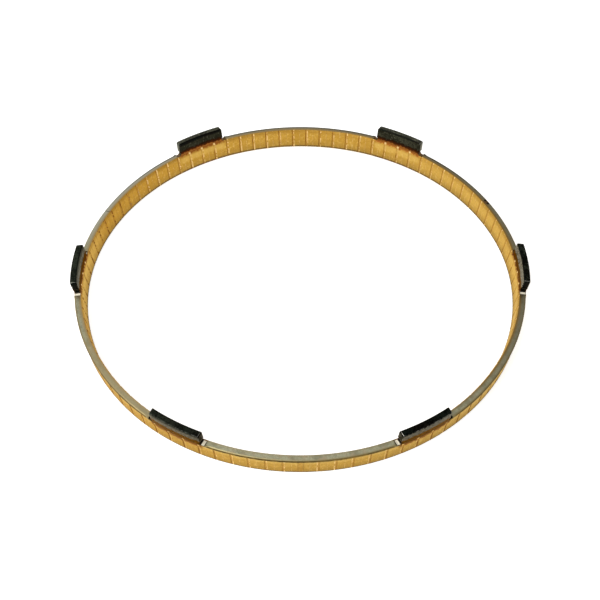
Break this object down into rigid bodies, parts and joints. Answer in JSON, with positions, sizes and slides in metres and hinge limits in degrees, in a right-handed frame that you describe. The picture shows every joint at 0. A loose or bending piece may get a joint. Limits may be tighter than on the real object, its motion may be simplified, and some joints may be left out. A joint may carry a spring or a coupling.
{
  "type": "synchronizer ring",
  "caption": "Conical steel synchronizer ring with upright drive lugs on its wide rim and grooved bronze friction linings bonded to its inner and outer faces.",
  "frame": {"origin": "centre of the flat small end, on the ring's axis", "axes": "+Z along the ring's axis towards the wide end with the lugs, +X through the middle of one lug"},
  "size_m": [0.1721, 0.1704, 0.0139],
  "materials": {
    "carrier_steel": "bare steel with a grey ground rim, blackened lugs and a coppery stain along the lugs' roots",
    "friction_lining": "matt golden sintered bronze with pressed grooves"
  },
  "bodies": {
    "root": {"carrier_ring": "carrier_steel", "inner_lining": "friction_lining", "outer_lining": "friction_lining"}
  },
  "joints": []
}
